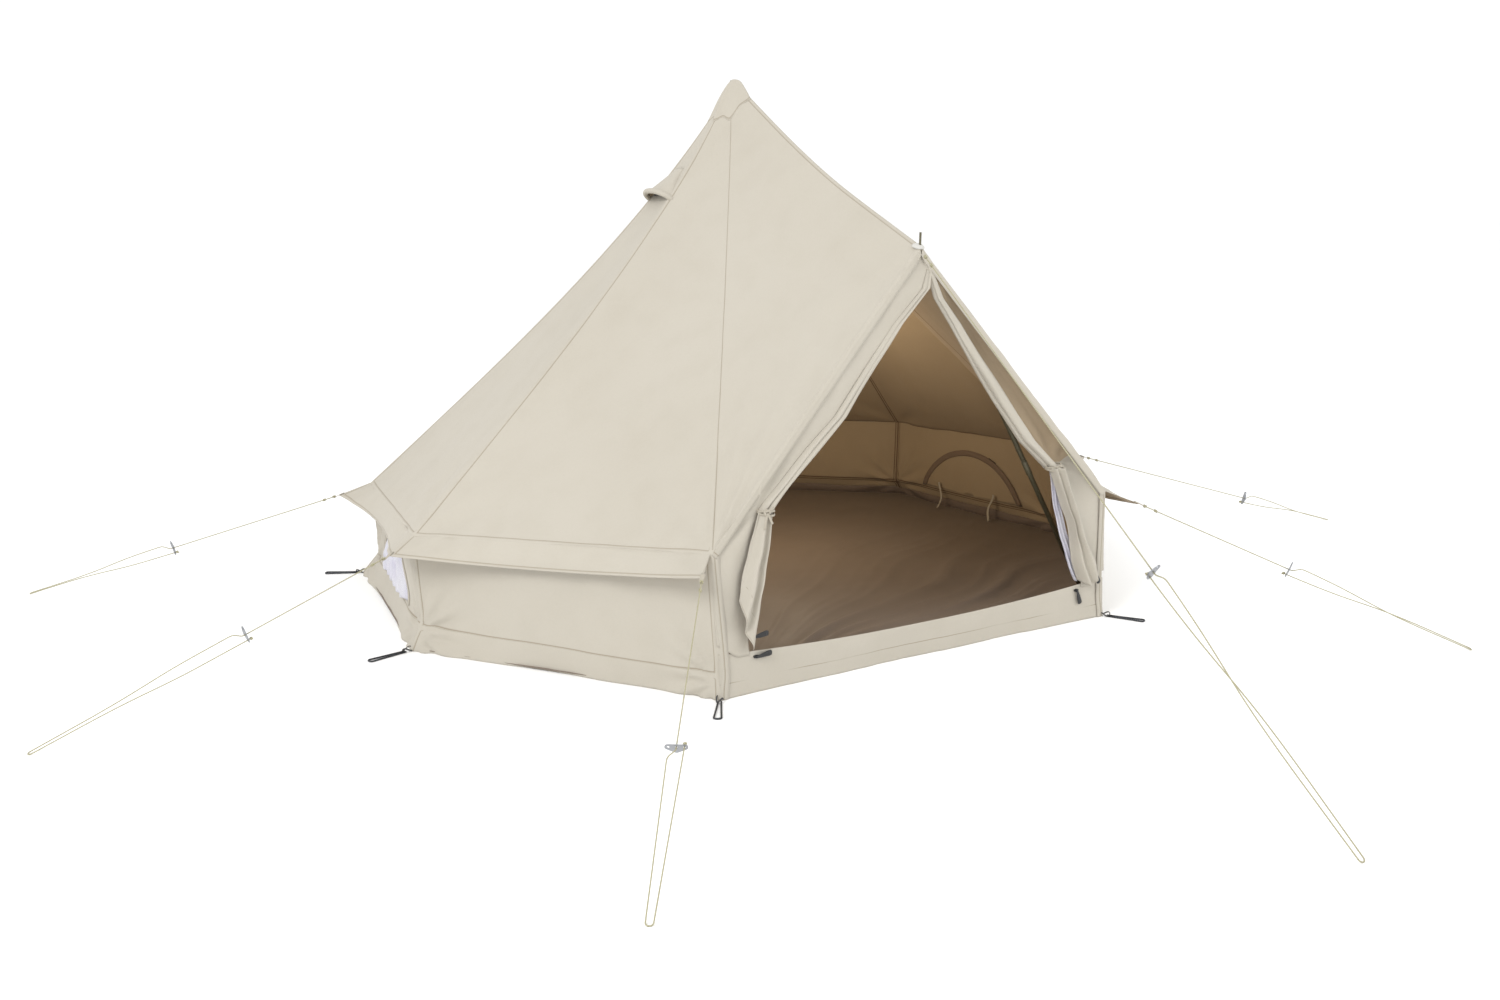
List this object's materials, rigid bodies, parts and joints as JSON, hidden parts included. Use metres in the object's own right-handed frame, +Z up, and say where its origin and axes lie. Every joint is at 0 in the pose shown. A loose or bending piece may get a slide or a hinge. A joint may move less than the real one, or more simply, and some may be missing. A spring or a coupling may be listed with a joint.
{
  "type": "bell tent",
  "caption": "Low-walled canvas bell tent with one centre pole, an A-frame door with tied back flaps, a sewn-in groundsheet and guy ropes with plate tensioners.",
  "frame": {"origin": "on the ground under the tent, on the groundsheet's underside at the middle of the ring of wall corners", "axes": "+Z up, the door faces -Y, the mid-plane of the door is X = 0"},
  "size_m": [5.5722, 4.6914, 1.9975],
  "materials": {
    "canvas": "cotton canvas, plain weave, matt",
    "groundsheet": "coated woven groundsheet, dull sheen",
    "netting": "fine mosquito netting",
    "pole_steel": "zinc plated tube",
    "aframe_paint": "dark olive powder coat",
    "rope": "twisted guy cord",
    "plate_aluminium": "stamped, grey anodised",
    "peg_steel": "dark steel wire",
    "zip_black": "moulded",
    "rubber": "moulded"
  },
  "bodies": {
    "tent": {"roof_gore_1": "canvas", "roof_gore_2": "canvas", "roof_gore_3": "canvas", "roof_gore_4": "canvas", "roof_gore_5": "canvas", "roof_gore_6": "canvas", "roof_gore_7": "canvas", "roof_wing_left": "canvas", "roof_wing_right": "canvas", "peak_cap": "canvas", "vent_hood_left": "canvas", "vent_hood_right": "canvas", "wall_panel_1": "canvas", "wall_panel_2": "canvas", "wall_panel_3": "canvas", "wall_panel_4": "canvas", "wall_panel_5": "canvas", "wall_panel_6": "canvas", "wall_panel_7": "canvas", "door_sill": "canvas", "door_flap_left": "canvas", "door_flap_right": "canvas", "window_mesh_left": "netting", "window_mesh_right": "netting", "window_flap_left": "canvas", "window_flap_right": "canvas", "groundsheet": "groundsheet", "groundsheet_rim": "groundsheet", "pole_foot": "rubber", "pole_lower": "pole_steel", "pole_upper": "pole_steel", "aframe_leg_left": "aframe_paint", "aframe_leg_right": "aframe_paint", "aframe_head": "aframe_paint", "guy_rope_front_left": "rope", "guy_rope_side_left": "rope", "guy_rope_rear_left": "rope", "guy_rope_side_right": "rope", "guy_rope_front_right": "rope", "guy_rope_door": "rope"},
    "guy_plate_front_left_body": {"guy_plate_front_left": "plate_aluminium"},
    "guy_plate_side_left_body": {"guy_plate_side_left": "plate_aluminium"},
    "guy_plate_rear_left_body": {"guy_plate_rear_left": "plate_aluminium"},
    "guy_plate_side_right_body": {"guy_plate_side_right": "plate_aluminium"},
    "guy_plate_front_right_body": {"guy_plate_front_right": "plate_aluminium"},
    "guy_plate_door_body": {"guy_plate_door": "plate_aluminium"},
    "peg_1_body": {"peg_1": "peg_steel"},
    "peg_2_body": {"peg_2": "peg_steel"},
    "peg_3_body": {"peg_3": "peg_steel"},
    "peg_4_body": {"peg_4": "peg_steel"},
    "peg_5_body": {"peg_5": "peg_steel"},
    "peg_6_body": {"peg_6": "peg_steel"},
    "peg_7_body": {"peg_7": "peg_steel"},
    "peg_8_body": {"peg_8": "peg_steel"},
    "sill_zip_slider_left_body": {"sill_zip_slider_left": "zip_black"},
    "zip_puller_left_body": {"zip_puller_left": "zip_black"},
    "sill_zip_slider_right_body": {"sill_zip_slider_right": "zip_black"},
    "zip_puller_right_body": {"zip_puller_right": "zip_black"},
    "window_zip_slider_body": {"window_zip_slider": "zip_black"}
  },
  "joints": [
    {"name": "guy_plate_front_left_slide", "type": "slide", "parent": "tent", "child": "guy_plate_front_left_body", "axis": [-0.5276, -0.7818, -0.3324], "range_m": [-0.25, 0.25], "deforming": ["guy_rope_front_left"]},
    {"name": "guy_plate_side_left_slide", "type": "slide", "parent": "tent", "child": "guy_plate_side_left_body", "axis": [-0.9318, -0.2037, -0.3005], "range_m": [-0.25, 0.25], "deforming": ["guy_rope_side_left"]},
    {"name": "guy_plate_rear_left_slide", "type": "slide", "parent": "tent", "child": "guy_plate_rear_left_body", "axis": [-0.9112, 0.312, -0.2692], "range_m": [-0.25, 0.25], "deforming": ["guy_rope_rear_left"]},
    {"name": "guy_plate_side_right_slide", "type": "slide", "parent": "tent", "child": "guy_plate_side_right_body", "axis": [0.9109, -0.3065, -0.2764], "range_m": [-0.25, 0.25], "deforming": ["guy_rope_side_right"]},
    {"name": "guy_plate_front_right_slide", "type": "slide", "parent": "tent", "child": "guy_plate_front_right_body", "axis": [0.5921, -0.7231, -0.3556], "range_m": [-0.25, 0.25], "deforming": ["guy_rope_front_right"]},
    {"name": "guy_plate_door_slide", "type": "slide", "parent": "tent", "child": "guy_plate_door_body", "axis": [-0.0049, -0.794, -0.6078], "range_m": [-0.25, 0.25], "deforming": ["guy_rope_door"]},
    {"name": "peg_1_pull", "type": "slide", "parent": "tent", "child": "peg_1_body", "axis": [-0.527, -0.8499, 0], "range_m": [0, 0.15]},
    {"name": "peg_2_pull", "type": "slide", "parent": "tent", "child": "peg_2_body", "axis": [-0.9744, -0.225, 0], "range_m": [0, 0.15]},
    {"name": "peg_3_pull", "type": "slide", "parent": "tent", "child": "peg_3_body", "axis": [-0.8894, 0.4571, 0], "range_m": [0, 0.15]},
    {"name": "peg_4_pull", "type": "slide", "parent": "tent", "child": "peg_4_body", "axis": [-0.3584, 0.9336, 0], "range_m": [0, 0.15]},
    {"name": "peg_5_pull", "type": "slide", "parent": "tent", "child": "peg_5_body", "axis": [0.3584, 0.9336, 0], "range_m": [0, 0.15]},
    {"name": "peg_6_pull", "type": "slide", "parent": "tent", "child": "peg_6_body", "axis": [0.8894, 0.4571, 0], "range_m": [0, 0.15]},
    {"name": "peg_7_pull", "type": "slide", "parent": "tent", "child": "peg_7_body", "axis": [0.9744, -0.225, 0], "range_m": [0, 0.15]},
    {"name": "peg_8_pull", "type": "slide", "parent": "tent", "child": "peg_8_body", "axis": [0.527, -0.8499, 0], "range_m": [0, 0.15]},
    {"name": "sill_zip_left_slide", "type": "slide", "parent": "tent", "child": "sill_zip_slider_left_body", "axis": [1, 0, 0], "range_m": [0, 0.6]},
    {"name": "zip_puller_left_swing", "type": "hinge", "parent": "sill_zip_slider_left_body", "child": "zip_puller_left_body", "pos_m": [-0.69, -1.33474, 0.121], "axis": [0, 1, 0], "range_deg": [-20, 90]},
    {"name": "sill_zip_right_slide", "type": "slide", "parent": "tent", "child": "sill_zip_slider_right_body", "axis": [-1, 0, 0], "range_m": [0, 0.6]},
    {"name": "zip_puller_right_swing", "type": "hinge", "parent": "sill_zip_slider_right_body", "child": "zip_puller_right_body", "pos_m": [0.69, -1.33474, 0.121], "axis": [0, 1, 0], "range_deg": [-50, 60]},
    {"name": "window_zip_run", "type": "hinge", "parent": "tent", "child": "window_zip_slider_body", "pos_m": [1.42892, 0.17763, -0.036], "axis": [0.9921, 0.1254, 0], "range_deg": [-80, 36]}
  ]
}
